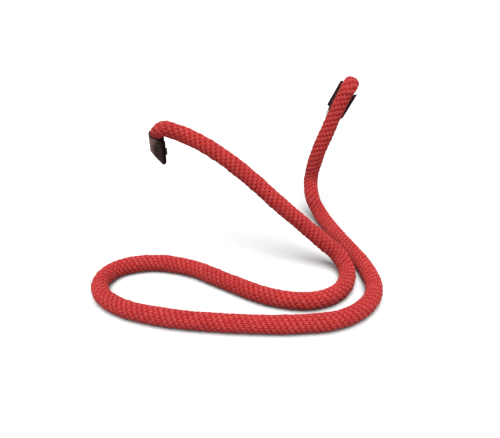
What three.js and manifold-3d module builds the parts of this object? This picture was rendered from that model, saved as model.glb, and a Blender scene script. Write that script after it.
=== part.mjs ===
// Rope strap: a thick round rope whose two ends are stitched into folded leather ends,
// each with a ring in a small leather keeper. Millimetres, +Z up, +X from the left end
// to the right end, +Y away from the viewer. The origin lies midway between the two rings.

import * as THREE from 'three';
import { mergeVertices } from 'three/addons/utils/BufferGeometryUtils.js';
import Module from 'manifold-3d';

const wasm = await Module();
wasm.setup();

// Driving dimensions
const ROPE_DIAMETER = 11;
const ROPE_SIDES = 12;
const STEPS_PER_POINT = 2;
const LEATHER_WIDTH = 18;
const LEATHER_HEIGHT = 21.8;
const LEATHER_WALL = 1.8;
const SEAM_HALF_THICKNESS = 1.9;
const POCKET_FLOOR = 9;
const POCKET_HALF_WIDTH = 6.6;
const CLEARANCE = 0.3;
const RING_RADIUS = 6.1;
const RING_WIRE_RADIUS = 0.9;
const RING_SIDES = 8;
const RING_SEGMENTS = 28;
const KEEPER_LENGTH = 4.6;
const KEEPER_OUTER_RADIUS = 2.8;
const KEEPER_HOLE_RADIUS = 1.45;
const KEEPER_HEIGHT = 3.2;
const KEEPER_SINK = 0.5;

// Half thickness added at the middle of the leather by the rope inside it
const BULGE_TABLE = [
  { height: 0, bulge: 0.1 },
  { height: 2, bulge: 0.4 },
  { height: 9, bulge: 2.3 },
  { height: 15, bulge: 3.3 },
  { height: 22, bulge: 3.8 },
  { height: 30, bulge: 3.8 },
];
const BULGE_HALF_WIDTH = 7.6;

// How the fold rounds off at the foot of the leather
const FOLD_TABLE = [
  { height: 0, share: 0.45 },
  { height: 0.5, share: 0.8 },
  { height: 1.4, share: 1 },
  { height: 40, share: 1 },
];

// Where each leather end stands: foot is the middle of its folded edge, up runs to the
// rope, across is its width and inward faces the other end. corner is how far its two
// top corners stand above the mouth, ringAway the way its ring lies, in across, up, inward.
const ENDS = [
  {
    name: 'left',
    foot: [-75.7, -11.4, -0.5],
    up: [-0.03, -0.37, 0.93],
    across: [-0.39, 0.86, 0.33],
    corner: 0.9,
    ringAway: [0.78, -0.36, 0.39],
    wireAlong: 'up',
  },
  {
    name: 'right',
    foot: [71.1, 2, 14.1],
    up: [0.25, -0.34, 0.91],
    across: [0.3, -0.87, -0.4],
    corner: 2.7,
    ringAway: [0.4, -0.87, -0.2],
    wireAlong: 'across',
  },
];

// The rope's middle line, from the left leather end to the right one
const ROPE_ROUTE = [
  [-76.4, -19.6, 20.1],
  [-76.4, -20.3, 21.8],
  [-74.5, -24.1, 26.8],
  [-69.5, -28.7, 27.3],
  [-55.9, -36.7, 22.8],
  [-39.9, -49.8, 14.6],
  [-24.2, -62.7, 2.7],
  [-3.8, -79.5, -16.4],
  [16.8, -94.4, -35.0],
  [29.8, -104.5, -47.4],
  [30.9, -115.4, -52.2],
  [22.2, -128.8, -52.5],
  [10.0, -135.5, -52.5],
  [-7.3, -135.2, -52.5],
  [-28.9, -123.5, -52.5],
  [-49.8, -101.7, -52.5],
  [-69.4, -80.5, -52.5],
  [-92.6, -67.7, -52.5],
  [-116.2, -67.2, -52.5],
  [-127.8, -77.9, -52.5],
  [-128.0, -92.1, -52.5],
  [-117.8, -107.0, -52.5],
  [-94.1, -123.5, -52.5],
  [-55.9, -140.7, -52.5],
  [-18.5, -152.8, -52.5],
  [7.1, -156.2, -52.5],
  [27.9, -149.3, -52.5],
  [39.4, -137.1, -52.5],
  [44.7, -114.6, -52.5],
  [43.6, -77.5, -52.5],
  [42.6, -45.5, -50.2],
  [39.5, -35.3, -40.5],
  [41.8, -25.0, -30.3],
  [45.7, -24.2, -10.6],
  [53.3, -23.0, 8.5],
  [66.6, -19.4, 34.7],
  [71.2, -18.2, 41.2],
  [76.3, -12.0, 42.1],
  [77.3, -6.0, 35.7],
  [76.9, -5.4, 34.1],
];

const RED_ROPE = new THREE.MeshStandardMaterial({ color: 0xc42a2c, roughness: 0.9, metalness: 0 });
const BROWN_LEATHER = new THREE.MeshStandardMaterial({ color: 0x3a2420, roughness: 0.6, metalness: 0 });
const STEEL = new THREE.MeshStandardMaterial({ color: 0xb8b8b8, roughness: 0.3, metalness: 1 });

// A smooth curve whose steps follow its points, so that tight bends get short steps
class RouteCurve extends THREE.CatmullRomCurve3 {
  getUtoTmapping(u) {
    return u;
  }
}

function lookUp(table, height, column) {
  const next = table.findIndex((row) => row.height >= height);
  if (next <= 0) {
    return table[0][column];
  }
  const low = table[next - 1];
  const high = table[next];
  const share = (height - low.height) / (high.height - low.height);
  return THREE.MathUtils.lerp(low[column], high[column], share);
}

// Half thickness of the leather end at a point of its face
function leatherHalfThickness(across, height) {
  const fold = lookUp(FOLD_TABLE, height, 'share');
  const side = Math.min(Math.abs(across) / BULGE_HALF_WIDTH, 1);
  const bulge = lookUp(BULGE_TABLE, height, 'bulge') * Math.cos((side * Math.PI) / 2) ** 2;
  return SEAM_HALF_THICKNESS * fold + bulge;
}

// A closed pillow between two faces: halfThickness(across, height) on a grid of columns
// and rows, with topEdge(across) as its upper outline
function pillow({ halfWidth, columns, heights, topEdge, halfThickness }) {
  const positions = [];
  const indices = [];
  const ringSize = 2 * (columns + 1);
  const columnAt = (i) => halfWidth * ((2 * i) / columns - 1);
  heights.forEach((height, row) => {
    const last = row === heights.length - 1;
    const front = [];
    const back = [];
    for (let i = 0; i <= columns; i += 1) {
      const across = columnAt(i);
      const level = last ? topEdge(across) : height;
      const half = halfThickness(across, level);
      front.push([across, level, half]);
      back.unshift([across, level, -half]);
    }
    positions.push(...front.flat(), ...back.flat());
  });
  const quad = (a, b, c, d) => indices.push(a, b, c, a, c, d);
  for (let row = 0; row < heights.length - 1; row += 1) {
    const low = row * ringSize;
    const high = low + ringSize;
    for (let i = 0; i < ringSize; i += 1) {
      const next = (i + 1) % ringSize;
      quad(low + i, low + next, high + next, high + i);
    }
  }
  const top = (heights.length - 1) * ringSize;
  for (let i = 0; i < columns; i += 1) {
    const far = ringSize - 1 - i;
    quad(i + 1, i, far, far - 1);
    quad(top + i, top + i + 1, top + far - 1, top + far);
  }
  const geometry = new THREE.BufferGeometry();
  geometry.setAttribute('position', new THREE.Float32BufferAttribute(positions, 3));
  geometry.setIndex(indices);
  return geometry;
}

function toSolid(geometry) {
  const bare = geometry.clone();
  bare.deleteAttribute('normal');
  bare.deleteAttribute('uv');
  const merged = mergeVertices(bare, 1e-4);
  const vertProperties = new Float32Array(merged.attributes.position.array);
  const triVerts = new Uint32Array(merged.index.array);
  return new wasm.Manifold(new wasm.Mesh({ numProp: 3, vertProperties, triVerts }));
}

function toGeometry(solid) {
  const mesh = solid.getMesh();
  const geometry = new THREE.BufferGeometry();
  geometry.setAttribute('position', new THREE.BufferAttribute(mesh.vertProperties, mesh.numProp));
  geometry.setIndex(new THREE.BufferAttribute(mesh.triVerts, 1));
  geometry.computeVertexNormals();
  return geometry;
}

// The upper outline of the leather: level over the rope, rising to both corners
function mouthOutline(corner) {
  return (across) => {
    const rise = THREE.MathUtils.smoothstep(Math.abs(across), 6.2, LEATHER_WIDTH / 2);
    return LEATHER_HEIGHT + corner * rise;
  };
}

// Across, up and inward directions of an end's own frame
function endAxes(end) {
  const up = new THREE.Vector3(...end.up).normalize();
  const across = new THREE.Vector3(...end.across);
  across.addScaledVector(up, -across.dot(up)).normalize();
  const inward = new THREE.Vector3().crossVectors(across, up);
  return { across, up, inward };
}

// Where the ring's wire passes through the keeper, and the ring's own axes there
function ringFrame(end) {
  const away = new THREE.Vector3(...end.ringAway).normalize();
  const along = end.wireAlong === 'up' ? new THREE.Vector3(0, 1, 0) : new THREE.Vector3(1, 0, 0);
  along.addScaledVector(away, -along.dot(away)).normalize();
  const axis = new THREE.Vector3().crossVectors(along, away);
  const face = leatherHalfThickness(0, KEEPER_HEIGHT);
  const seat = new THREE.Vector3(0, KEEPER_HEIGHT, face + KEEPER_OUTER_RADIUS - KEEPER_SINK);
  return { away, along, axis, seat };
}

function keeperSolids(end) {
  const { along, away, axis, seat } = ringFrame(end);
  const turn = new THREE.Matrix4().makeBasis(away, axis, along);
  const rod = (radius, length, sides) => {
    const geometry = new THREE.CylinderGeometry(radius, radius, length, sides);
    geometry.rotateX(Math.PI / 2);
    geometry.applyMatrix4(turn);
    geometry.translate(seat.x, seat.y, seat.z);
    return toSolid(geometry);
  };
  return {
    loop: rod(KEEPER_OUTER_RADIUS, KEEPER_LENGTH, 20),
    hole: rod(KEEPER_HOLE_RADIUS, KEEPER_LENGTH + 1, 16),
  };
}

// The folded leather end: a pillow over the rope's end, hollow from its mouth down
function leatherEnd(end) {
  const outside = pillow({
    halfWidth: LEATHER_WIDTH / 2,
    columns: 18,
    heights: [0, 0.5, 1.4, 3.5, 6, 9, 12, 15, 18.5, LEATHER_HEIGHT],
    topEdge: mouthOutline(end.corner),
    halfThickness: leatherHalfThickness,
  });
  const pocket = pillow({
    halfWidth: POCKET_HALF_WIDTH,
    columns: 12,
    heights: [POCKET_FLOOR, 12, 15, 18.5, LEATHER_HEIGHT + 4],
    topEdge: () => LEATHER_HEIGHT + 4,
    halfThickness: (across, height) => leatherHalfThickness(across, height) - LEATHER_WALL,
  });
  const { loop, hole } = keeperSolids(end);
  return toGeometry(toSolid(outside).add(loop).subtract(hole).subtract(toSolid(pocket)));
}

// The rope's flattened last stretch, stitched inside the leather
function ropeTail() {
  const top = LEATHER_HEIGHT - CLEARANCE;
  const wall = LEATHER_WALL + CLEARANCE;
  return pillow({
    halfWidth: POCKET_HALF_WIDTH - 1.6,
    columns: 10,
    heights: [POCKET_FLOOR + CLEARANCE, 12, 15, 18.5, top],
    topEdge: () => top,
    halfThickness: (across, height) => leatherHalfThickness(across, height) - wall,
  });
}

function ring(end) {
  const { along, away, axis, seat } = ringFrame(end);
  const geometry = new THREE.TorusGeometry(RING_RADIUS, RING_WIRE_RADIUS, RING_SIDES, RING_SEGMENTS);
  geometry.applyMatrix4(new THREE.Matrix4().makeBasis(along, away, axis));
  const centre = seat.clone().addScaledVector(away, RING_RADIUS);
  geometry.translate(centre.x, centre.y, centre.z);
  return geometry;
}

function ropeSection() {
  const corners = [];
  for (let i = 0; i < ROPE_SIDES; i += 1) {
    const angle = (2 * Math.PI * i) / ROPE_SIDES;
    const radius = ROPE_DIAMETER / 2;
    corners.push(new THREE.Vector2(radius * Math.cos(angle), radius * Math.sin(angle)));
  }
  return new THREE.Shape(corners);
}

function rope() {
  const points = ROPE_ROUTE.map((point) => new THREE.Vector3(...point));
  return new THREE.ExtrudeGeometry(ropeSection(), {
    extrudePath: new RouteCurve(points, false, 'centripetal'),
    steps: STEPS_PER_POINT * (points.length - 1),
    bevelEnabled: false,
  });
}

function named(name, geometry, material) {
  const mesh = new THREE.Mesh(geometry, material);
  mesh.name = name;
  return mesh;
}

function endGroup(end) {
  const { across, up, inward } = endAxes(end);
  const group = new THREE.Group();
  group.quaternion.setFromRotationMatrix(new THREE.Matrix4().makeBasis(across, up, inward));
  group.position.set(...end.foot);
  group.add(
    named(`${end.name}_leather_end`, leatherEnd(end), BROWN_LEATHER),
    named(`${end.name}_rope_tail`, ropeTail(), RED_ROPE),
    named(`${end.name}_ring`, ring(end), STEEL),
  );
  return group;
}

const strap = new THREE.Group();
strap.add(named('rope', rope(), RED_ROPE));
ENDS.forEach((end) => strap.add(endGroup(end)));

export default strap;
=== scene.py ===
# Rope strap: a thick red knitted rope with two folded leather ends, each holding a ring.
# Metres, +Z up, +X from the left end to the right end, origin midway between the rings.
import math

import bmesh
import bpy
import numpy as np
from mathutils import Matrix, Vector


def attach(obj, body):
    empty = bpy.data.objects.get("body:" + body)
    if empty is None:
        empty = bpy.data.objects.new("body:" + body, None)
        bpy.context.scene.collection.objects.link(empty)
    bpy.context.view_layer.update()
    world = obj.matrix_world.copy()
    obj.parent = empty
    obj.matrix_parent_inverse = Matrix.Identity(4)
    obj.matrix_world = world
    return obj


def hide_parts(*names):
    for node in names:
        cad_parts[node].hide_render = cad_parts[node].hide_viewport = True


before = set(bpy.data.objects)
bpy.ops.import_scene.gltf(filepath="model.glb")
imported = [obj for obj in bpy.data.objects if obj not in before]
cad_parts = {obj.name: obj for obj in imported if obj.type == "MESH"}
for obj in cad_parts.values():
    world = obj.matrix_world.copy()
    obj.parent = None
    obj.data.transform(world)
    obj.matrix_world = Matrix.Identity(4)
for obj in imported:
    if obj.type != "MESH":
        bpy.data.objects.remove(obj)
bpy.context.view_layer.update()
mm = 0.001
floorHeight = -58.1 * mm
print("frame loaded:", ", ".join(sorted(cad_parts)))


# Camera at the photograph's angle
cameraSet = {
    "place": (-112.7 * mm, -350.5 * mm, 155.9 * mm),
    "azimuth": 17.64,
    "elevation": 32.05,
    "roll": 0.33,
    "lens": 36.0,
    "sensor": 36.0,
    "clipStart": 0.01,
}


def makeCamera(settings):
    azimuth, elevation, roll = (math.radians(settings[key]) for key in ("azimuth", "elevation", "roll"))
    across = Vector((math.cos(azimuth), -math.sin(azimuth), 0))
    ahead = Vector((
        math.sin(azimuth) * math.cos(elevation),
        math.cos(azimuth) * math.cos(elevation),
        -math.sin(elevation),
    ))
    above = across.cross(ahead)
    turnedAcross = across * math.cos(roll) + above * math.sin(roll)
    turnedAbove = above * math.cos(roll) - across * math.sin(roll)
    lens = bpy.data.cameras.new("camera")
    lens.lens = settings["lens"]
    lens.sensor_width = settings["sensor"]
    lens.clip_start = settings["clipStart"]
    camera = bpy.data.objects.new("camera", lens)
    turn = Matrix((turnedAcross, turnedAbove, -ahead)).transposed()
    camera.matrix_world = Matrix.Translation(settings["place"]) @ turn.to_4x4()
    bpy.context.collection.objects.link(camera)
    bpy.context.scene.camera = camera


makeCamera(cameraSet)
print("camera placed")


# Meshes from grids of points

def makePiece(name, points, faceSets, material, mergeDistance=None, knit=None, shares=None):
    # faceSets holds one array for each number of corners, knit the place of each corner on the knit map,
    # and shares a value at each point under each name; points within mergeDistance become one
    mesh = bpy.data.meshes.new(name)
    sizes = np.concatenate([np.full(len(faces), faces.shape[1]) for faces in faceSets])
    corners = np.concatenate([faces.ravel() for faces in faceSets])
    mesh.vertices.add(len(points))
    mesh.vertices.foreach_set("co", np.asarray(points, dtype=np.float32).ravel())
    mesh.loops.add(len(corners))
    mesh.loops.foreach_set("vertex_index", corners.astype(np.int32))
    mesh.polygons.add(len(sizes))
    mesh.polygons.foreach_set("loop_start", (np.cumsum(sizes) - sizes).astype(np.int32))
    mesh.update(calc_edges=True)
    mesh.shade_smooth()
    mesh.materials.append(material)
    if knit is not None:
        mesh.uv_layers.new(name="knit").data.foreach_set("uv", knit.astype(np.float32).ravel())
    for key, values in (shares or {}).items():
        layer = mesh.attributes.new(key, "FLOAT", "POINT")
        layer.data.foreach_set("value", values.astype(np.float32).ravel())
    if mergeDistance:
        mergePoints(mesh, mergeDistance)
    piece = bpy.data.objects.new(name, mesh)
    bpy.context.collection.objects.link(piece)
    return piece


def mergePoints(mesh, distance):
    # closes seams, folds and poles, and turns the faces outwards
    shape = bmesh.new()
    shape.from_mesh(mesh)
    bmesh.ops.remove_doubles(shape, verts=shape.verts, dist=distance)
    bmesh.ops.recalc_face_normals(shape, faces=shape.faces)
    shape.to_mesh(mesh)
    shape.free()


def gridFaces(rows, columns, closedRows=False):
    # quads between neighbouring rows and columns; the last column is joined to the first, and so is
    # the last row where closedRows says so
    rowCount = rows if closedRows else rows - 1
    row, column = np.meshgrid(np.arange(rowCount), np.arange(columns), indexing="ij")
    nextRow = (row + 1) % rows
    nextColumn = (column + 1) % columns
    quads = np.stack([
        row * columns + column,
        row * columns + nextColumn,
        nextRow * columns + nextColumn,
        nextRow * columns + column,
    ], axis=-1)
    return quads.reshape(-1, 4)


def unit(vectors):
    return vectors / np.linalg.norm(vectors, axis=-1, keepdims=True)


# Shader maths

class Wire:
    # a socket that adds a Math node for each operator
    def __init__(self, shade, socket):
        self.shade = shade
        self.socket = socket

    def maths(self, operation, *values):
        return self.shade.node("ShaderNodeMath", {"operation": operation}, dict(enumerate(values)))

    def __add__(self, other):
        return self.maths("ADD", self, other)

    def __radd__(self, other):
        return self.maths("ADD", other, self)

    def __sub__(self, other):
        return self.maths("SUBTRACT", self, other)

    def __rsub__(self, other):
        return self.maths("SUBTRACT", other, self)

    def __mul__(self, other):
        return self.maths("MULTIPLY", self, other)

    def __rmul__(self, other):
        return self.maths("MULTIPLY", other, self)

    def __pow__(self, other):
        return self.maths("POWER", self, other)

    def __rpow__(self, other):
        return self.maths("POWER", other, self)

    def __abs__(self):
        return self.maths("ABSOLUTE", self)

    def fraction(self):
        return self.maths("FRACT", self)

    def sine(self):
        return self.maths("SINE", self)

    def limited(self):
        return self.shade.node("ShaderNodeClamp", {}, {0: self})


class Shade:
    # a material and the one method that adds its nodes
    def __init__(self, name):
        self.material = bpy.data.materials.new(name)
        self.material.use_nodes = True
        self.tree = self.material.node_tree
        self.surface = self.tree.nodes["Principled BSDF"]

    def node(self, kind, settings, inputs, output=0):
        made = self.tree.nodes.new(kind)
        for key, value in settings.items():
            if key == "stops":
                self.giveStops(made.color_ramp, value)
            else:
                setattr(made, key, value)
        for key, value in inputs.items():
            self.feed(made.inputs[key], value)
        return Wire(self, made.outputs[output])

    def giveStops(self, ramp, stops):
        ramp.elements[0].position, ramp.elements[0].color = stops[0]
        ramp.elements[1].position, ramp.elements[1].color = stops[-1]
        for position, colour in stops[1:-1]:
            ramp.elements.new(position).color = colour

    def feed(self, socket, value):
        if isinstance(value, Wire):
            self.tree.links.new(value.socket, socket)
        else:
            socket.default_value = value

    def finish(self, **sockets):
        for key, value in sockets.items():
            self.feed(self.surface.inputs[key.replace("_", " ")], value)
        return self.material

    def mixColour(self, factor, first, second, blend="MIX"):
        settings = {"data_type": "RGBA", "blend_type": blend}
        return self.node("ShaderNodeMix", settings, {0: factor, 6: first, 7: second}, 2)

    def noise(self, place, scale, detail=3.0, rough=0.55):
        return self.node("ShaderNodeTexNoise", {}, {
            "Vector": place, "Scale": scale, "Detail": detail, "Roughness": rough,
        })

    def place(self):
        return self.node("ShaderNodeTexCoord", {}, {}, "Object")

    def attribute(self, name):
        return self.node("ShaderNodeAttribute", {"attribute_name": name}, {}, "Fac")

    def bump(self, height, distance, strength):
        return self.node("ShaderNodeBump", {}, {
            "Strength": strength, "Distance": distance, "Height": height,
        })


# Rope

# A wale is a column of stitches along the rope and a course one round of them. The courses climb by
# spiral whole courses a turn, and slant is how far a stitch's arms lean, in courses per wale.
ropeSet = {
    "diameter": 11 * mm,
    "wales": 14,
    "columnsPerWale": 6,
    "rowsPerCourse": 5,
    "slant": 1.0,
    "spiral": 5,
    "innerRadius": 5.0 * mm,
    "relief": 0.55 * mm,
    "grooveShare": 0.4,
    "grooveStart": 0.34,
    "grooveWidth": 0.16,
    "footShare": 0.75,
    "creviceShare": 0.75,
    "unevenness": 0.2,
    "swell": 0.06 * mm,
    "swellPlaces": 110,
    "turns": 0.5,
    "tailDepth": 12.0 * mm,
    "tailHalfWidth": 5.0 * mm,
    "tailEase": 4.0 * mm,
    "leftSqueeze": 0.3,
    "rightSqueeze": 0.2,
    "squeezeFrom": 0.3,
    "squeezeFull": 0.55,
    "spread": 0.45,
    "lineStep": 0.5 * mm,
    "lineSoftening": 4,
    "bendSoftening": 5,
    "pathEvery": 4,
    "aboveFloor": 0.1 * mm,
    "mergeDistance": 0.0001 * mm,
    "seed": 7,
}

# Spacing of the courses: wider where the rope hangs stretched, closer round the loops
pitchTable = {
    "place": np.array([0, 60, 90, 230, 560, 620, 715, 755, 830]) * mm,
    "pitch": np.array([4.2, 4.1, 3.65, 3.55, 3.5, 3.4, 3.55, 4.15, 4.15]) * mm,
}

# The rope's middle line from the left leather end to the right one, in millimetres
ropeRoute = np.array([
    (-76.4, -19.6, 20.1),
    (-76.4, -20.3, 21.8),
    (-74.5, -24.1, 26.8),
    (-69.5, -28.7, 27.3),
    (-55.9, -36.7, 22.8),
    (-39.9, -49.8, 14.6),
    (-24.2, -62.7, 2.7),
    (-3.8, -79.5, -16.4),
    (16.8, -94.4, -35.0),
    (29.8, -104.5, -47.4),
    (30.9, -115.4, -52.2),
    (22.2, -128.8, -52.5),
    (10.0, -135.5, -52.5),
    (-7.3, -135.2, -52.5),
    (-28.9, -123.5, -52.5),
    (-49.8, -101.7, -52.5),
    (-69.4, -80.5, -52.5),
    (-92.6, -67.7, -52.5),
    (-116.2, -67.2, -52.5),
    (-127.8, -77.9, -52.5),
    (-128.0, -92.1, -52.5),
    (-117.8, -107.0, -52.5),
    (-94.1, -123.5, -52.5),
    (-55.9, -140.7, -52.5),
    (-18.5, -152.8, -52.5),
    (7.1, -156.2, -52.5),
    (27.9, -149.3, -52.5),
    (39.4, -137.1, -52.5),
    (44.7, -114.6, -52.5),
    (43.6, -77.5, -52.5),
    (42.6, -45.5, -50.2),
    (39.5, -35.3, -40.5),
    (41.8, -25.0, -30.3),
    (45.7, -24.2, -10.6),
    (53.3, -23.0, 8.5),
    (66.6, -19.4, 34.7),
    (71.2, -18.2, 41.2),
    (76.3, -12.0, 42.1),
    (77.3, -6.0, 35.7),
    (76.9, -5.4, 34.1),
]) * mm

# Leather ends: foot is the middle of the folded edge, up runs to the rope, across is the
# width, and the ring lies along ringAway, given in across, up and inward
leatherSet = {
    "width": 18 * mm,
    "height": 21.8 * mm,
    "wall": 1.8 * mm,
    "seamHalf": 1.9 * mm,
    "pocketFloor": 9 * mm,
    "pocketHalfWidth": 6.6 * mm,
    "bulgeHalfWidth": 7.6 * mm,
    "foldRadius": 1.5 * mm,
    "cornerStart": 6.2 * mm,
    "gap": 0.3 * mm,
}
bulgeTable = {
    "height": np.array([0, 2, 9, 15, 22, 30]) * mm,
    "bulge": np.array([0.1, 0.4, 2.3, 3.3, 3.8, 3.8]) * mm,
}

# The outward face of the left end stands higher at its mouth and its far edge is trimmed, as worn
strapEnds = [
    {
        "name": "left",
        "foot": (-75.7, -11.4, -0.5),
        "up": (-0.03, -0.37, 0.93),
        "across": (-0.39, 0.86, 0.33),
        "corner": 0.9 * mm,
        "outwardLift": 2.2 * mm,
        "farDrop": 2.5 * mm,
        "farTrim": 0.9 * mm,
        # painted sheen: how strongly the upper side of this end's outward face is lightened
        "sheenShare": 1.0,
        "ringAway": (0.78, -0.36, 0.39),
        "wireAlong": (0.0, 1.0, 0.0),
    },
    {
        "name": "right",
        "foot": (71.1, 2.0, 14.1),
        "up": (0.25, -0.34, 0.91),
        "across": (0.3, -0.87, -0.4),
        "corner": 2.7 * mm,
        "outwardLift": 0.0,
        "farDrop": 0.0,
        "farTrim": 0.0,
        "sheenShare": 0.15,
        "ringAway": (0.4, -0.87, -0.2),
        "wireAlong": (1.0, 0.0, 0.0),
    },
]


def endAxes(end):
    up = unit(np.array(end["up"]))
    across = np.array(end["across"])
    across = unit(across - up * np.dot(across, up))
    return np.array([across, up, np.cross(across, up)])


def toWorld(end, local):
    # across, up and inward distances from the foot, turned into the strap's own frame
    return np.array(end["foot"]) * mm + local @ endAxes(end)


def leatherHalf(across, height):
    # half thickness of the closed end: the seam's, plus a cosine squared swelling over the rope
    side = np.minimum(np.abs(across) / leatherSet["bulgeHalfWidth"], 1)
    bulge = np.interp(height, bulgeTable["height"], bulgeTable["bulge"])
    return leatherSet["seamHalf"] + bulge * np.cos(side * math.pi / 2) ** 2


def smoothRoute(points, perSpan=40):
    # centripetal spline through the points: knots stand apart by the square root of each chord, and
    # each span is the cubic with the ends and end slopes that its neighbours give
    padded = np.vstack([2 * points[0] - points[1], points, 2 * points[-1] - points[-2]])
    a, b, c, d = padded[:-3], padded[1:-2], padded[2:-1], padded[3:]
    pairs = ((a, b), (b, c), (c, d))
    gapA, gapB, gapC = (np.sqrt(np.linalg.norm(q - p, axis=1))[:, None] for p, q in pairs)
    slopeB = ((b - a) / gapA - (c - a) / (gapA + gapB) + (c - b) / gapB) * gapB
    slopeC = ((c - b) / gapB - (d - b) / (gapB + gapC) + (d - c) / gapC) * gapB
    t = np.linspace(0, 1, perSpan, endpoint=False)[None, :, None]
    b, c, slopeB, slopeC = (v[:, None] for v in (b, c, slopeB, slopeC))
    squared = 3 * (c - b) - 2 * slopeB - slopeC
    cubed = 2 * (b - c) + slopeB + slopeC
    spans = b + slopeB * t + squared * t**2 + cubed * t**3
    return np.vstack([spans.reshape(-1, 3), points[-1]])


def evenly(points, step):
    # points about a step apart along the line, and the distance of each from its start
    travelled = np.r_[0, np.cumsum(np.linalg.norm(np.diff(points, axis=0), axis=1))]
    count = int(round(travelled[-1] / step))
    marks = np.linspace(0, travelled[-1], count + 1)
    return marks, along(marks, travelled, points)


def along(distance, marks, values):
    # vectors given at the marks, read off at each distance
    return np.stack([np.interp(distance, marks, values[:, k]) for k in range(3)], axis=-1)


def softened(points, reach):
    # weighted mean of neighbours with a bell of that many points, the two ends held by mirrored copies
    steps = np.arange(-3 * reach, 3 * reach + 1)
    bell = np.exp(-0.5 * (steps / reach) ** 2)
    bell /= bell.sum()
    n = len(steps) // 2
    before = 2 * points[0] - points[n:0:-1]
    after = 2 * points[-1] - points[-2:-n - 2:-1]
    padded = np.vstack([before, points, after])
    return np.column_stack([np.convolve(padded[:, k], bell, "valid") for k in range(3)])


def ropeLine():
    # the route with its two tails: straight down into each leather end
    steps = np.linspace(ropeSet["tailDepth"], 0, 13)[:-1, None]
    leftDown, rightDown = (-endAxes(end)[1] for end in strapEnds)
    route = smoothRoute(ropeRoute)
    line = np.vstack([route[0] + leftDown * steps, route, route[-1] + rightDown * steps[::-1]])
    even = evenly(line, ropeSet["lineStep"])[1]
    return evenly(softened(even, ropeSet["lineSoftening"]), ropeSet["lineStep"])


def carriedFrames(line, startAcross):
    # the section's first direction, carried along the line with no turn about it
    forward = unit(np.gradient(line, axis=0))
    across = np.empty_like(line)
    current = startAcross
    for i, direction in enumerate(forward):
        current = current - direction * np.dot(current, direction)
        current = current / np.linalg.norm(current)
        across[i] = current
    return forward, across


def smoothStep(values, low, high):
    share = np.clip((values - low) / (high - low), 0, 1)
    return share * share * (3 - 2 * share)


def tailSection(angle, height):
    # inside the leather the section follows the pocket: narrower, and flat towards its sides
    across = ropeSet["tailHalfWidth"] * np.cos(angle)
    pocket = leatherHalf(across, height) - leatherSet["wall"] - leatherSet["gap"]
    steepness = np.minimum(np.abs(np.sin(angle)) * 1.4, 1) ** 0.8
    return across, pocket * np.sign(np.sin(angle)) * steepness


def ropeFrames(marks, line):
    # the section's two directions; an even turn brings them square with the right leather end
    leftAxes, rightAxes = (endAxes(end) for end in strapEnds)
    forward, across = carriedFrames(line, leftAxes[0])
    side = np.cross(forward, across)
    atEnd = math.atan2(np.dot(rightAxes[0], side[-1]), np.dot(rightAxes[0], across[-1]))
    halfTurns = round((ropeSet["turns"] * 2 * math.pi - atEnd) / math.pi)
    margin = ropeSet["tailDepth"] + ropeSet["tailEase"]
    turn = (atEnd + halfTurns * math.pi) * smoothStep(marks, margin, marks[-1] - margin)
    across = across * np.cos(turn)[:, None] + side * np.sin(turn)[:, None]
    return forward, across, np.cross(forward, across)


def stitchGrid(marks):
    # rows follow the V of the stitches and climb by whole courses a turn, as one spiral:
    # course = row / rowsPerCourse + spiral * wale / wales - slant * offset from the wale's middle
    wales, perWale, perCourse = ropeSet["wales"], ropeSet["columnsPerWale"], ropeSet["rowsPerCourse"]
    pitch = np.interp(marks, pitchTable["place"], pitchTable["pitch"])
    courseMarks = np.r_[0, np.cumsum(np.diff(marks) / pitch[1:])]
    climb = ropeSet["spiral"] * perCourse
    rows = int((courseMarks[-1] + 1) * perCourse) + climb
    row = np.arange(rows)[:, None] - climb
    wale = np.arange(wales * perWale)[None, :] / perWale
    offset = np.abs(wale - np.floor(wale) - 0.5)
    course = row / perCourse + ropeSet["spiral"] * wale / wales - ropeSet["slant"] * offset
    distance = np.interp(course, courseMarks, marks)
    stretch = np.interp(distance, marks, pitch) / np.median(pitch)
    return row, wale, offset, distance, stretch


def stitchRelief(offset, phase):
    # height of a knitted stitch, 1 on its arms: each wale holds stacked V shapes whose arms are rounded
    # ridges, low between two courses, at the foot of the V and where two wales meet
    within = phase - np.floor(phase)
    ridge = 1 - np.abs(2 * within - 1) ** 3
    between = np.clip((offset - ropeSet["grooveStart"]) / ropeSet["grooveWidth"], 0, 1)
    foot = ropeSet["footShare"] * np.clip(1 - offset / ropeSet["grooveWidth"], 0, 1)
    return 1 - ropeSet["creviceShare"] * (1 - ridge) - ropeSet["grooveShare"] * np.maximum(between, foot)


def stitchRadius(row, wale, offset, distance, stretch, length):
    # each stitch is a little fuller or flatter than the next, and deeper where the rope is stretched
    perCourse = ropeSet["rowsPerCourse"]
    draw = np.random.default_rng(ropeSet["seed"])
    fullness = draw.normal(0, 1, (len(row) // perCourse + 1, 2 * ropeSet["wales"]))
    arm = np.floor(2 * wale).astype(int)
    fuller = 1 + ropeSet["unevenness"] * fullness[(row - row[0, 0]) // perCourse, arm]
    places = np.linspace(0, length, ropeSet["swellPlaces"])
    swell = np.interp(distance, places, draw.normal(0, ropeSet["swell"], ropeSet["swellPlaces"]))
    drop = 1 - stitchRelief(offset, row / perCourse) * fuller
    return ropeSet["innerRadius"] + ropeSet["relief"] * (1 - stretch**2 * drop) + swell


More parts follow.
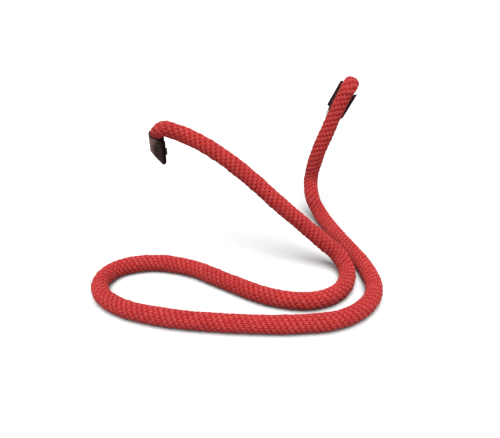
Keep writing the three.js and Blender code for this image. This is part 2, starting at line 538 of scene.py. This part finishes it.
def sectionPoints(marks, across, side, wale, distance, radius):
    # from the middle line outwards: round along the rope, and the pocket's flat section in the tails
    tail = ropeSet["tailDepth"]
    angle = 2 * math.pi * wale / ropeSet["wales"] + 0 * distance
    depth = np.maximum(tail - distance, distance - marks[-1] + tail)
    tailShare = smoothStep(depth, -ropeSet["tailEase"], 0)
    flatX, flatY = tailSection(angle, leatherSet["height"] - np.maximum(depth, 0))
    x = radius * np.cos(angle) * (1 - tailShare) + flatX * tailShare
    y = radius * np.sin(angle) * (1 - tailShare) + flatY * tailShare
    acrossThere, sideThere = (unit(along(distance, marks, values)) for values in (across, side))
    return acrossThere * x[..., None] + sideThere * y[..., None]


def flattenBends(marks, forward, distance, fromLine):
    # a tight bend flattens its outer side and spreads the rope sideways; bendSize is the rope's
    # half diameter over the bend's radius
    turning = softened(np.gradient(forward, marks, axis=0), ropeSet["bendSoftening"])
    bend = turning * ropeSet["diameter"] / 2
    bendSize = np.linalg.norm(bend, axis=1)
    most = np.where(marks < marks[-1] / 2, ropeSet["leftSqueeze"], ropeSet["rightSqueeze"])
    share = smoothStep(bendSize, ropeSet["squeezeFrom"], ropeSet["squeezeFull"])
    squeeze = np.interp(distance, marks, most * share)
    inner = unit(along(distance, marks, bend / np.maximum(bendSize, 1e-6)[:, None]) + 1e-9)
    sideways = np.cross(unit(along(distance, marks, forward)), inner)
    outward = np.maximum(-np.sum(fromLine * inner, axis=-1), 0)
    aside = np.sum(fromLine * sideways, axis=-1)
    fromLine = fromLine + inner * (outward * squeeze)[..., None]
    return fromLine + sideways * (aside * squeeze * ropeSet["spread"])[..., None]


def spiralFaces(rows, columns):
    # the last column meets the first one a whole spiral further on, and a middle point closes each end
    climb = ropeSet["spiral"] * ropeSet["rowsPerCourse"]
    number = np.arange(rows * columns).reshape(rows, columns)
    nextColumn = np.column_stack([number[:, 1:], np.full(rows, -1)])
    nextColumn[:rows - climb, -1] = number[climb:, 0]
    quads = np.stack([number[:-1], nextColumn[:-1], nextColumn[1:], number[1:]], axis=-1)
    middle = np.full(columns, rows * columns)
    firstCap = np.column_stack([middle, np.roll(number[0], -1), number[0]])
    lastCap = np.column_stack([middle + 1, number[-1], np.roll(number[-1], -1)])
    return quads, np.vstack([firstCap, lastCap])


def knitMap(row, wale, offset):
    # the knit map counts wales across and courses along, at each quad's corners
    waleEdge = np.append(wale, ropeSet["wales"]) + 0 * row[:-1]
    lean = ropeSet["slant"] * np.append(offset, offset[0, 0])
    low, high = row[:-1] / ropeSet["rowsPerCourse"] - lean, row[1:] / ropeSet["rowsPerCourse"] - lean
    left, right = slice(None, -1), slice(1, None)
    across = [waleEdge[:, left], waleEdge[:, right], waleEdge[:, right], waleEdge[:, left]]
    courses = [low[:, left], low[:, right], high[:, right], high[:, left]]
    return np.stack([np.stack(across, axis=-1), np.stack(courses, axis=-1)], axis=-1)


def makeRope(material):
    marks, line = ropeLine()
    forward, across, side = ropeFrames(marks, line)
    row, wale, offset, distance, stretch = stitchGrid(marks)
    radius = stitchRadius(row, wale, offset, distance, stretch, marks[-1])
    fromLine = sectionPoints(marks, across, side, wale, distance, radius)
    points = along(distance, marks, line) + flattenBends(marks, forward, distance, fromLine)
    points[..., 2] = np.maximum(points[..., 2], floorHeight + ropeSet["aboveFloor"])
    points = np.vstack([points.reshape(-1, 3), line[0], line[-1]])
    quads, caps = spiralFaces(*distance.shape)
    joined = quads.min(axis=-1) >= 0
    knit = np.vstack([knitMap(row, wale, offset)[joined].reshape(-1, 2), np.zeros((caps.size, 2))])
    rope = makePiece("red_rope", points, [quads[joined], caps], material, ropeSet["mergeDistance"], knit)
    triangles = len(rope.data.loops) - 2 * len(rope.data.polygons)
    print("rope made:", triangles, "triangles,", round(marks[-1], 3), "m")
    return rope, line[::ropeSet["pathEvery"]]


# Yarn colours run from painted shade between the stitches to a pinkish painted highlight on their tops
knitLook = {
    "stops": [
        (0.05, (0.135, 0.0020, 0.0022, 1)),
        (0.38, (0.202, 0.0052, 0.0052, 1)),
        (0.72, (0.280, 0.0150, 0.0138, 1)),
        (1.0, (0.365, 0.072, 0.066, 1)),
    ],
    "fadedPatch": (0.86, 0.80, 0.84, 1),
    "fibreScale": 2600,
    "mottleScale": 430,
    "patchScale": 55,
    "strandsAlong": 19,
    "strandsAcross": 24,
    "roughness": 0.88,
    "bumpDepth": 0.45 * mm,
    "bumpStrength": 0.9,
    "sheen": 0.1,
    "sheenRoughness": 0.45,
    "sheenTint": (1.0, 0.42, 0.38, 1),
    "specular": 0.12,
}


def knitMaterial():
    look = knitLook
    shade = Shade("red knit")
    place = shade.place()
    knit = shade.node("ShaderNodeUVMap", {"uv_map": "knit"}, {})
    wale = shade.node("ShaderNodeSeparateXYZ", {}, {0: knit}, 0)
    course = shade.node("ShaderNodeSeparateXYZ", {}, {0: knit}, 1)

    # the stitches of stitchRelief, each arm two yarns laid side by side
    offset = abs(wale.fraction() - 0.5)
    phase = course + ropeSet["slant"] * offset
    ridge = 1 - abs(phase.fraction() * 2 - 1) ** 2.6
    between = ((offset - 0.36) * 7).limited()
    foot = ((0.12 - offset) * 8).limited()
    yarn = ridge * (1 - between * 0.8 - foot * 0.55)
    pair = 1 - abs((phase * 2).fraction() * 2 - 1) ** 3
    strands = (phase * look["strandsAlong"] + offset * look["strandsAcross"]).sine() * 0.5 + 0.5
    fibres = shade.noise(place, look["fibreScale"], 4, 0.7)
    mottle = shade.noise(place, look["mottleScale"], 2, 0.6)
    patches = shade.noise(place, look["patchScale"], 2, 0.5)

    # painted shade and highlight: the stitch height darkens the gaps and lightens the tops, under random
    # mottle and fibres
    shown = (yarn * 0.62 + pair * 0.2 + strands * 0.05 + fibres * 0.2 + mottle * 0.4 - 0.22).limited()
    colour = shade.node("ShaderNodeValToRGB", {"stops": look["stops"]}, {0: shown})
    uneven = shade.mixColour((patches * 1.6 - 0.45).limited(), look["fadedPatch"], (1, 1, 1, 1))
    colour = shade.mixColour(1.0, colour, uneven, "MULTIPLY")
    height = yarn * 0.55 + pair * 0.25 + strands * 0.07 + fibres * 0.2
    return shade.finish(
        Base_Color=colour,
        Roughness=look["roughness"],
        Normal=shade.bump(height, look["bumpDepth"], look["bumpStrength"]),
        Sheen_Weight=look["sheen"],
        Sheen_Roughness=look["sheenRoughness"],
        Sheen_Tint=look["sheenTint"],
        Specular_IOR_Level=look["specular"],
    )


rope, ropeMiddle = makeRope(knitMaterial())
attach(rope, "root")
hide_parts("rope", "left_rope_tail", "right_rope_tail")


# Leather ends

leatherLook = {
    "columns": 160,
    "rowStep": 0.4 * mm,
    "boxDepth": 2.6 * mm,
    "rimDrop": 0.45 * mm,
    "footNarrowing": 0.035,
    "footReach": 1.2 * mm,
    "seamGroove": 0.28 * mm,
    "seamWidth": 0.3 * mm,
    "edgeFrom": 0.975,
    "edgeFull": 0.995,
    "rimEdge": 0.4,
    "trimAtFoot": 0.6,
    "stitchAcross": 7.1 * mm,
    "stitchLow": 6.8 * mm,
    "stitchHigh": 20.6 * mm,
    "stitchPitch": 3.1 * mm,
    "stitchLength": 2.3 * mm,
    "threadRadius": 0.3 * mm,
    "threadArch": 0.75,
    "threadSink": 0.35,
    "threadMerge": 0.001 * mm,
    "holeDepth": 0.34 * mm,
    "holeRadius": 0.62 * mm,
    # painted sheen: the outward face lightens towards its far upper corner
    "sheenLean": 0.35,
    "sheenFrom": 0.5 * mm,
    "sheenFull": 5 * mm,
    "mergeDistance": 0.004 * mm,
}


def boxShares(columns, halfWidth, halfDepth, rounding=0.25, steps=8000):
    # a rounded box's outline as shares of its half width and half depth, evenly spaced round it
    angle = np.linspace(0, 2 * math.pi, steps + 1)
    shares = np.stack([np.cos(angle), np.sin(angle)], axis=-1)
    shares = np.sign(shares) * np.abs(shares) ** rounding
    lengths = np.linalg.norm(np.diff(shares * [halfWidth, halfDepth], axis=0), axis=1)
    travelled = np.r_[0, np.cumsum(lengths)]
    marks = np.linspace(0, travelled[-1], columns, endpoint=False)
    return np.interp(marks, travelled, shares[:, 0]), np.interp(marks, travelled, shares[:, 1])


def mouthHeight(end, across, depthShare):
    # level over the rope and rising to both corners; the outward face may stand higher there and the
    # far corner lower
    half = leatherSet["width"] / 2
    corners = end["corner"] * smoothStep(np.abs(across), leatherSet["cornerStart"], half)
    lift = end["outwardLift"] * np.maximum(-depthShare, 0) * (1 - (across / half) ** 2)
    drop = end["farDrop"] * smoothStep(across, 0.4 * half, half)
    return leatherSet["height"] + corners + lift - drop


def faceDepth(across, height):
    # distance of the leather's outer face from its middle plane, rounded off to nothing at the sides
    half = leatherSet["width"] / 2
    return leatherHalf(across, height) * (1 - np.minimum(np.abs(across) / half, 1) ** 8) ** 0.125


def stitchRow():
    # stitch middles and directions down one side, across above the ring and up the other side
    look = leatherLook
    beside, pitch = look["stitchAcross"], look["stitchPitch"]
    sideCount = round((look["stitchHigh"] - look["stitchLow"]) / pitch)
    sideHeights = look["stitchHigh"] - (np.arange(sideCount) + 0.5) * pitch
    lowCount = round(2 * beside / pitch)
    lowAcross = (np.arange(lowCount) + 0.5) / lowCount * 2 * beside - beside
    rows = [np.column_stack([np.full(sideCount, side * beside), sideHeights]) for side in (-1, 1)]
    rows.append(np.column_stack([lowAcross, np.full(lowCount, look["stitchLow"])]))
    directions = np.vstack([np.tile([0, 1], (2 * sideCount, 1)), np.tile([1, 0], (lowCount, 1))])
    return np.vstack(rows), directions.astype(float)


def stitchHoles(x, height, shareZ):
    # 1 at each end of each stitch, falling off as a bell, on the two faces alone
    middles, directions = stitchRow()
    ends = np.vstack([middles + directions * side * leatherLook["stitchLength"] / 2 for side in (-1, 1)])
    gaps = np.hypot(x[..., None] - ends[:, 0], height[..., None] - ends[:, 1]).min(axis=-1)
    return np.exp(-(gaps / leatherLook["holeRadius"]) ** 2) * smoothStep(np.abs(shareZ), 0.8, 0.95)


def leatherOutside(end, shareX, shareZ, top):
    # the fold is a quarter round, then the faces rise to just under the rim
    look, size = leatherLook, leatherSet
    half = size["width"] / 2
    outerX = half * shareX
    foldAngle = np.radians([0, 20, 40, 60, 75, 90])[:, None]
    foldHeight = size["foldRadius"] * (1 - np.cos(foldAngle)) + 0 * outerX
    rise = np.linspace(0, 1, round(size["height"] / look["rowStep"]))[1:, None]
    faceHeight = size["foldRadius"] + rise * (top - look["rimDrop"] - size["foldRadius"])
    height = np.vstack([foldHeight, faceHeight])
    thin = np.vstack([np.sin(foldAngle), np.ones_like(rise)])
    z = leatherHalf(outerX, height) * shareZ * thin
    x = outerX * (1 - look["footNarrowing"] * np.exp(-height / look["footReach"]))
    trim = look["trimAtFoot"] + (1 - look["trimAtFoot"]) * height / size["height"]
    x = x - end["farTrim"] * smoothStep(x, 0, half) * trim

    # cut edges: two layers with a line between them
    besideEdge = smoothStep(np.abs(shareX), look["edgeFrom"], look["edgeFull"])
    line = besideEdge * np.exp(-(z / look["seamWidth"]) ** 2) * thin**4
    x = x - np.sign(x) * look["seamGroove"] * line

    # a dent at each end of each stitch
    hole = stitchHoles(x, height, shareZ)
    z = z * (1 - look["holeDepth"] * hole / np.maximum(np.abs(z), 0.5 * mm))
    return x, height, z, besideEdge, hole


def leatherInside(end, shareX, shareZ, top, lastX, lastZ):
    # the rim rounds over to the pocket, whose walls go down to its floor
    look, size = leatherLook, leatherSet
    innerX = size["pocketHalfWidth"] * shareX
    over = np.linspace(0, 1, 9)[1:-1, None]
    pocketTop = leatherHalf(innerX, top) - size["wall"]
    rimX = lastX + (innerX - lastX) * over
    rimZ = lastZ + (pocketTop * shareZ - lastZ) * over
    rimHeight = mouthHeight(end, rimX, shareZ) - look["rimDrop"] * np.abs(2 * over - 1) ** 2.5
    down = np.linspace(0, 1, 12)[:, None]
    wallTop = mouthHeight(end, innerX, shareZ) - look["rimDrop"]
    wallHeight = wallTop * (1 - down) + size["pocketFloor"] * down
    wallZ = (leatherHalf(innerX, wallHeight) - size["wall"]) * shareZ
    rim = (rimX, rimHeight, rimZ)
    wall = (
        np.vstack([innerX + 0 * wallHeight, innerX]),
        np.vstack([wallHeight, wallHeight[-1]]),
        np.vstack([wallZ, 0 * innerX]),
    )
    return rim, wall


def makeLeather(end, material):
    # a rounded box's outline carried up the outside, over the rim and down into the pocket
    look, size = leatherLook, leatherSet
    half = size["width"] / 2
    shareX, shareZ = boxShares(look["columns"], half, look["boxDepth"])
    top = mouthHeight(end, half * shareX, shareZ)
    x, height, z, besideEdge, hole = leatherOutside(end, shareX, shareZ, top)
    rim, wall = leatherInside(end, shareX, shareZ, top, x[-1], z[-1])
    local = np.stack([np.vstack(parts) for parts in zip((x, height, z), rim, wall)], axis=-1)
    # painted sheen: the outward face is lightened towards its far upper corner, as a highlight, but not on
    # the cut edges
    sheenShare = smoothStep(x + look["sheenLean"] * height, look["sheenFrom"], look["sheenFull"])
    noRim, noWall = 0 * rim[0], 0 * wall[0]
    shares = {
        "edge": np.vstack([besideEdge + 0 * x, noRim + look["rimEdge"], noWall]),
        # painted shade: near black in the stitch holes and over the whole pocket wall
        "dark": np.vstack([hole, noRim, noWall + 1]),
        "worn": np.vstack([end["sheenShare"] * (1 - besideEdge) * sheenShare, noRim, noWall]),
    }
    points = toWorld(end, local.reshape(-1, 3))
    quads = gridFaces(len(local), look["columns"])
    return makePiece(
        f"{end['name']}_leather", points, [quads], material, look["mergeDistance"], shares=shares,
    )


def makeStitches(end, material):
    # each stitch is a short thread: a round section carried along a low arch between its two holes
    look = leatherLook
    thick, arch, sink = look["threadRadius"], look["threadArch"], look["threadSink"]
    middles, directions = stitchRow()
    t = np.linspace(-1, 1, 11)
    around = np.linspace(0, 2 * math.pi, 10, endpoint=False)
    taper = np.sqrt(1 - (0.98 * t) ** 4)
    pieces = []
    for face in (-1, 1):
        flat = middles[:, None] + directions[:, None] * (t * look["stitchLength"] / 2)[None, :, None]
        level = faceDepth(flat[..., 0], flat[..., 1]) + thick * (arch * np.cos(t * math.pi / 2) - sink)
        beside = np.stack([-directions[:, 1], directions[:, 0]], axis=-1)[:, None, None]
        swing = np.cos(around)[None, None, :, None] * beside * thick * taper[None, :, None, None]
        lift = np.sin(around) * thick * taper[:, None]
        plane = flat[:, :, None] + swing
        depth = (level[:, :, None] + lift[None]) * face
        pieces.append(np.concatenate([plane, depth[..., None]], axis=-1))
    local = np.concatenate(pieces)
    count, rows, columns = local.shape[:3]
    bases = np.arange(count)[:, None] * rows * columns
    quads = gridFaces(rows, columns)[None] + bases[..., None]
    ring = np.arange(columns)
    caps = np.vstack([bases + ring, bases + (rows - 1) * columns + ring])
    points = toWorld(end, local.reshape(-1, 3))
    faces = [quads.reshape(-1, 4), caps]
    return makePiece(f"{end['name']}_stitches", points, faces, material, look["threadMerge"])


# Rings and the leather keepers that hold them

ringSet = {
    "radius": 6.1 * mm,
    "wire": 0.9 * mm,
    "turnSteps": 96,
    "wireSteps": 20,
    "keeperLength": 4.6 * mm,
    "keeperOuter": 2.8 * mm,
    "keeperSkin": 2.55 * mm,
    "keeperHole": 1.45 * mm,
    "keeperHeight": 3.2 * mm,
    "keeperSink": 0.5 * mm,
    "keeperTurnSteps": 64,
    "keeperColumns": 40,
    "mergeDistance": 0.001 * mm,
}


def ringAxes(end):
    # in across, up and inward: the ring lies along away, and its wire runs along the keeper's hole
    away = unit(np.array(end["ringAway"]))
    wire = np.array(end["wireAlong"])
    wire = unit(wire - away * np.dot(away, wire))
    face = leatherHalf(0, ringSet["keeperHeight"])
    seat = np.array([0, ringSet["keeperHeight"], face + ringSet["keeperOuter"] - ringSet["keeperSink"]])
    return away, wire, np.cross(wire, away), seat


def makeRing(end, material):
    # a round wire carried round a circle
    away, wire, axis, seat = ringAxes(end)
    turnSteps, wireSteps = ringSet["turnSteps"], ringSet["wireSteps"]
    turn = np.linspace(0, 2 * math.pi, turnSteps, endpoint=False)[:, None, None]
    around = np.linspace(0, 2 * math.pi, wireSteps, endpoint=False)[None, :, None]
    outward = np.cos(turn) * wire + np.sin(turn) * away
    reach = ringSet["radius"] + ringSet["wire"] * np.cos(around)
    middle = seat + away * ringSet["radius"]
    local = middle + outward * reach + axis * ringSet["wire"] * np.sin(around)
    points = toWorld(end, local.reshape(-1, 3))
    quads = gridFaces(turnSteps, wireSteps, closedRows=True)
    return makePiece(f"{end['name']}_steel_ring", points, [quads], material, ringSet["mergeDistance"])


def makeKeeper(end, material):
    # a rounded strip section carried round the ring's wire
    away, wire, axis, seat = ringAxes(end)
    turnSteps, columns = ringSet["keeperTurnSteps"], ringSet["keeperColumns"]
    halfLength = ringSet["keeperLength"] / 2
    middle = (ringSet["keeperSkin"] + ringSet["keeperHole"]) / 2
    halfWall = (ringSet["keeperSkin"] - ringSet["keeperHole"]) / 2
    shareR, shareL = boxShares(columns, halfWall, halfLength)
    turn = np.linspace(0, 2 * math.pi, turnSteps, endpoint=False)[:, None, None]
    outward = np.cos(turn) * away + np.sin(turn) * axis
    reach = (middle + halfWall * shareR)[None, :, None]
    local = seat + outward * reach + wire * (shareL * halfLength)[None, :, None]
    points = toWorld(end, local.reshape(-1, 3))
    quads = gridFaces(turnSteps, columns, closedRows=True)
    shares = {key: np.zeros(len(points)) for key in ("edge", "dark", "worn")}
    return makePiece(
        f"{end['name']}_keeper", points, [quads], material, ringSet["mergeDistance"], shares=shares,
    )


# Leather runs from deep brown to a paler tone, which painted sheen brings out on the upper outward face
leatherShades = {
    "stops": [
        (0.3, (0.012, 0.0045, 0.0038, 1)),
        (0.55, (0.029, 0.0120, 0.0100, 1)),
        (0.72, (0.075, 0.040, 0.034, 1)),
        (0.92, (0.160, 0.096, 0.082, 1)),
    ],
    "cutEdge": (0.011, 0.0036, 0.0028, 1),
    # painted shade in the stitch holes and down the pocket walls
    "paintedShade": (0.0015, 0.0006, 0.0006, 1),
    "grainScale": 1500,
    "creaseScale": 420,
    "patchScale": 110,
    "bumpDepth": 0.16 * mm,
    "bumpStrength": 0.85,
    "specular": 0.05,
}


def leatherMaterial():
    look = leatherShades
    shade = Shade("brown leather")
    place = shade.place()
    edge, dark, worn = (shade.attribute(name) for name in ("edge", "dark", "worn"))
    cells = shade.node("ShaderNodeTexVoronoi", {"feature": "DISTANCE_TO_EDGE"}, {
        "Vector": place, "Scale": look["grainScale"],
    })
    grain = (cells * 3.2).limited()
    creases = shade.noise(place, look["creaseScale"], 5, 0.65)
    patches = shade.noise(place, look["patchScale"], 3, 0.6)
    # random patches, grain and creases, plus the painted sheen that lightens the outward face
    shown = patches * 0.6 + grain * 0.18 + creases * 0.3 + worn * 0.42 - 0.06
    brown = shade.node("ShaderNodeValToRGB", {"stops": look["stops"]}, {0: shown})
    withEdge = shade.mixColour(edge, brown, look["cutEdge"])
    # the dark share lays the painted shade over the stitch holes and pocket walls
    return shade.finish(
        Base_Color=shade.mixColour(dark, withEdge, look["paintedShade"]),
        Roughness=(0.55 + creases * 0.25 + edge * 0.2 - worn * 0.08).limited(),
        Normal=shade.bump(grain * 0.55 + creases * 0.9, look["bumpDepth"], look["bumpStrength"]),
        Specular_IOR_Level=look["specular"],
    )


threadShades = {
    "dark": (0.004, 0.002, 0.0018, 1),
    "pale": (0.02, 0.011, 0.010, 1),
    "fibreScale": 3800,
    "roughness": 0.7,
    "bumpDepth": 0.1 * mm,
    "bumpStrength": 0.8,
}


def threadMaterial():
    look = threadShades
    shade = Shade("brown thread")
    fibres = shade.noise(shade.place(), look["fibreScale"], 3, 0.6)
    return shade.finish(
        Base_Color=shade.mixColour(fibres, look["dark"], look["pale"]),
        Roughness=look["roughness"],
        Normal=shade.bump(fibres, look["bumpDepth"], look["bumpStrength"]),
    )


steelShades = {
    "dark": (0.36, 0.36, 0.37, 1),
    "pale": (0.55, 0.55, 0.55, 1),
    "scuffScale": 900,
    "smoothest": 0.16,
}


def steelMaterial():
    look = steelShades
    shade = Shade("ring steel")
    scuffs = shade.noise(shade.place(), look["scuffScale"], 4, 0.7)
    return shade.finish(
        Base_Color=shade.mixColour(scuffs, look["dark"], look["pale"]),
        Metallic=1.0,
        Roughness=look["smoothest"] + scuffs * 0.22,
    )


leather, thread, steel = leatherMaterial(), threadMaterial(), steelMaterial()
for end in strapEnds:
    name = end["name"]
    body = makeLeather(end, leather)
    ring = makeRing(end, steel)
    keeper = makeKeeper(end, leather)
    stitches = makeStitches(end, thread)
    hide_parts(f"{name}_leather_end")
    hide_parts(f"{name}_ring")
    for piece, slotName in ((body, "leather"), (keeper, "leather"), (stitches, "leather"), (ring, "ring")):
        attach(piece, "root")
    print(name, "end made")


# Floor and light

# A wide soft sun from above and a little to the front, and an even white surround
lightSet = {
    "worldColour": (1.0, 1.0, 1.0, 1),
    "worldStrength": 0.78,
    "keyFrom": (-0.08, -0.23, 1.05),
    "keyAngle": 46.0,
    "keyPower": 6.6,
    "floorColour": (0.44, 0.44, 0.44, 1),
    "floorRoughness": 0.8,
    "floorSpecular": 0.1,
    "floorHalf": 4.0,
}


def makeFloor():
    shade = Shade("pale floor")
    material = shade.finish(
        Base_Color=lightSet["floorColour"],
        Roughness=lightSet["floorRoughness"],
        Specular_IOR_Level=lightSet["floorSpecular"],
    )
    corners = np.array([(-1, -1), (1, -1), (1, 1), (-1, 1)]) * lightSet["floorHalf"]
    points = np.column_stack([corners, np.full(4, floorHeight)])
    floor = makePiece("floor", points, [np.array([[0, 1, 2, 3]])], material)


def makeLights():
    world = bpy.data.worlds.new("studio")
    world.use_nodes = True
    background = world.node_tree.nodes["Background"]
    background.inputs[0].default_value = lightSet["worldColour"]
    background.inputs[1].default_value = lightSet["worldStrength"]
    bpy.context.scene.world = world
    key = bpy.data.lights.new("key", "SUN")
    key.angle = math.radians(lightSet["keyAngle"])
    key.energy = lightSet["keyPower"]
    lamp = bpy.data.objects.new("key", key)
    lamp.location = lightSet["keyFrom"]
    lamp.rotation_euler = Vector(lightSet["keyFrom"]).to_track_quat("Z", "Y").to_euler()
    bpy.context.collection.objects.link(lamp)


makeFloor()
makeLights()
bpy.context.scene.view_settings.view_transform = "Standard"
print("floor and light made")
